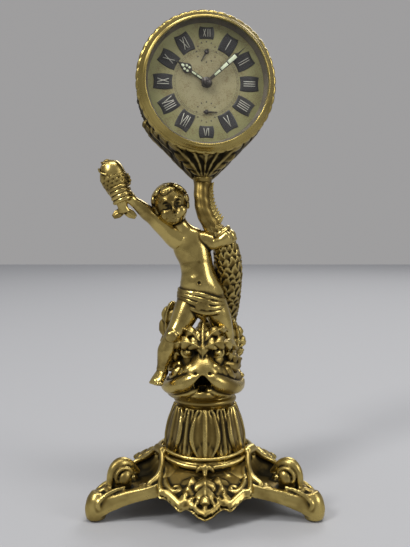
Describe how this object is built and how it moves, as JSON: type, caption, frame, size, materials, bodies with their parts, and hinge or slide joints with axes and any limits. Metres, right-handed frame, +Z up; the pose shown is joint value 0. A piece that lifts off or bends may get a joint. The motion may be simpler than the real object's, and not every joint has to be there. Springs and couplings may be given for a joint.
{
  "type": "table clock",
  "caption": "Gilt figural table clock: tripod base, dolphin plinth, child holding a fish, and a raised tail whose leaf cup cradles a round wind-up alarm clock",
  "frame": {"origin": "on the table under the stem axis", "axes": "+Z up, -Y to the front of the stand, +X to the viewer's right; millimetres in the source, metres in the row"},
  "size_m": [0.1468, 0.147, 0.3139],
  "materials": {
    "gilt": "polished gilt bronze with dark wax in the hollows",
    "gilt_case": "leaf-textured gilt case and cover",
    "gilt_bezel": "polished gilt bezel",
    "steel": "plain turned steel",
    "movement_brass": "satin brass",
    "glass": "clear domed glass",
    "rehaut": "dull brownish grey",
    "dial": "pale champagne gold, radially brushed",
    "hands_lume": "dark-edged hands with pale luminous filling",
    "hands_dark": "black",
    "controls": "bright brass"
  },
  "bodies": {
    "stand_and_case": {"base_casting": "gilt", "bell_pedestal": "gilt", "collar_ring": "gilt", "tie_rod": "steel", "rod_washer": "steel", "rod_nut": "steel", "dolphin_head": "gilt", "dolphin_tail": "gilt", "putto_body": "gilt", "raised_arm": "gilt", "hand_fish": "gilt", "leaf_cup": "gilt", "cup_screw": "steel", "drum_case": "gilt_case", "bezel": "gilt_bezel", "crystal": "glass", "rehaut_ring": "rehaut", "dial_plate": "dial", "front_plate": "movement_brass", "back_plate": "movement_brass", "plate_pillars": "movement_brass", "back_cover": "gilt_case", "back_screws": "steel"},
    "minute_train": {"centre_arbor": "steel", "cannon_pinion": "movement_brass", "minute_hand": "hands_lume", "minute_nut": "hands_dark", "set_knob": "controls"},
    "hour_train": {"hour_wheel": "movement_brass", "hour_hand": "hands_lume"},
    "minute_wheel_body": {"minute_wheel": "movement_brass"},
    "alarm_wheel_body": {"alarm_wheel": "movement_brass"},
    "seconds_train": {"fourth_wheel": "movement_brass", "seconds_hand": "hands_dark"},
    "third_wheel_body": {"third_wheel": "movement_brass"},
    "centre_wheel_body": {"centre_wheel": "movement_brass"},
    "time_barrel_body": {"time_barrel": "movement_brass"},
    "escape_wheel_body": {"escape_wheel": "steel"},
    "pallet_body": {"pallet_lever": "steel"},
    "balance_body": {"balance_wheel": "movement_brass"},
    "alarm_setting": {"alarm_arbor": "steel", "alarm_hand": "hands_dark", "alarm_knob": "controls"},
    "alarm_barrel_body": {"alarm_barrel": "movement_brass"},
    "alarm_hammer_body": {"alarm_hammer": "steel"},
    "time_winding": {"time_key": "controls", "time_winding_arbor": "steel"},
    "alarm_winding": {"alarm_key": "controls", "alarm_winding_arbor": "steel"},
    "stop_button_body": {"stop_button": "controls"}
  },
  "joints": [
    {"name": "minute_spin", "type": "hinge", "parent": "stand_and_case", "child": "minute_train", "pos_m": [-0.0016, 0, 0.2695], "axis": [-0.1564, 0.9877, 0], "continuous": true},
    {"name": "hour_spin", "type": "hinge", "parent": "stand_and_case", "child": "hour_train", "pos_m": [-0.0016, 0, 0.2695], "axis": [-0.1564, 0.9877, 0], "continuous": true},
    {"name": "minute_wheel_spin", "type": "hinge", "parent": "stand_and_case", "child": "minute_wheel_body", "pos_m": [-0.01327, -0.00185, 0.2695], "axis": [-0.1564, 0.9877, 0], "continuous": true},
    {"name": "alarm_wheel_spin", "type": "hinge", "parent": "stand_and_case", "child": "alarm_wheel_body", "pos_m": [-0.0016, 0, 0.2884], "axis": [-0.1564, 0.9877, 0], "continuous": true},
    {"name": "seconds_spin", "type": "hinge", "parent": "stand_and_case", "child": "seconds_train", "pos_m": [-0.0016, 0, 0.2515], "axis": [-0.1564, 0.9877, 0], "continuous": true},
    {"name": "third_wheel_spin", "type": "hinge", "parent": "stand_and_case", "child": "third_wheel_body", "pos_m": [0.00939, 0.00174, 0.25773], "axis": [-0.1564, 0.9877, 0], "continuous": true},
    {"name": "centre_wheel_spin", "type": "hinge", "parent": "stand_and_case", "child": "centre_wheel_body", "pos_m": [-0.0016, 0, 0.2695], "axis": [-0.1564, 0.9877, 0], "continuous": true},
    {"name": "time_barrel_spin", "type": "hinge", "parent": "stand_and_case", "child": "time_barrel_body", "pos_m": [0.01269, 0.00226, 0.27656], "axis": [-0.1564, 0.9877, 0], "continuous": true},
    {"name": "escape_spin", "type": "hinge", "parent": "stand_and_case", "child": "escape_wheel_body", "pos_m": [-0.01087, -0.00147, 0.25402], "axis": [-0.1564, 0.9877, 0], "continuous": true},
    {"name": "pallet_rock", "type": "hinge", "parent": "stand_and_case", "child": "pallet_body", "pos_m": [-0.01886, -0.00273, 0.25007], "axis": [-0.1564, 0.9877, 0], "range_deg": [-4, 4]},
    {"name": "balance_swing", "type": "hinge", "parent": "stand_and_case", "child": "balance_body", "pos_m": [-0.02624, -0.0039, 0.25657], "axis": [-0.1564, 0.9877, 0], "range_deg": [-150, 150]},
    {"name": "alarm_set_spin", "type": "hinge", "parent": "stand_and_case", "child": "alarm_setting", "pos_m": [-0.0016, 0, 0.2884], "axis": [-0.1564, 0.9877, 0], "continuous": true},
    {"name": "alarm_barrel_spin", "type": "hinge", "parent": "stand_and_case", "child": "alarm_barrel_body", "pos_m": [-0.01589, -0.00226, 0.27656], "axis": [-0.1564, 0.9877, 0], "continuous": true},
    {"name": "alarm_hammer_rock", "type": "hinge", "parent": "stand_and_case", "child": "alarm_hammer_body", "pos_m": [-0.02234, -0.00329, 0.2935], "axis": [-0.1564, 0.9877, 0], "range_deg": [-8, 8]},
    {"name": "time_winding_turn", "type": "hinge", "parent": "stand_and_case", "child": "time_winding", "pos_m": [0.01269, 0.00226, 0.27656], "axis": [0.1564, -0.9877, 0], "range_deg": [0, 1980]},
    {"name": "alarm_winding_turn", "type": "hinge", "parent": "stand_and_case", "child": "alarm_winding", "pos_m": [-0.01589, -0.00226, 0.27656], "axis": [0.1564, -0.9877, 0], "range_deg": [0, 1440]},
    {"name": "stop_button_slide", "type": "slide", "parent": "stand_and_case", "child": "stop_button_body", "axis": [0.1564, -0.9877, 0], "range_m": [0, 0.002], "stiffness_N_per_m": 200}
  ],
  "couplings": [
    {"joint": "hour_spin", "follows": "minute_spin", "ratio": 0.083333},
    {"joint": "minute_wheel_spin", "follows": "minute_spin", "ratio": -0.33333},
    {"joint": "alarm_wheel_spin", "follows": "minute_spin", "ratio": -0.083333},
    {"joint": "third_wheel_spin", "follows": "seconds_spin", "ratio": -0.13333},
    {"joint": "centre_wheel_spin", "follows": "seconds_spin", "ratio": 0.016667},
    {"joint": "time_barrel_spin", "follows": "seconds_spin", "ratio": -0.0027778},
    {"joint": "escape_spin", "follows": "seconds_spin", "ratio": -8}
  ]
}
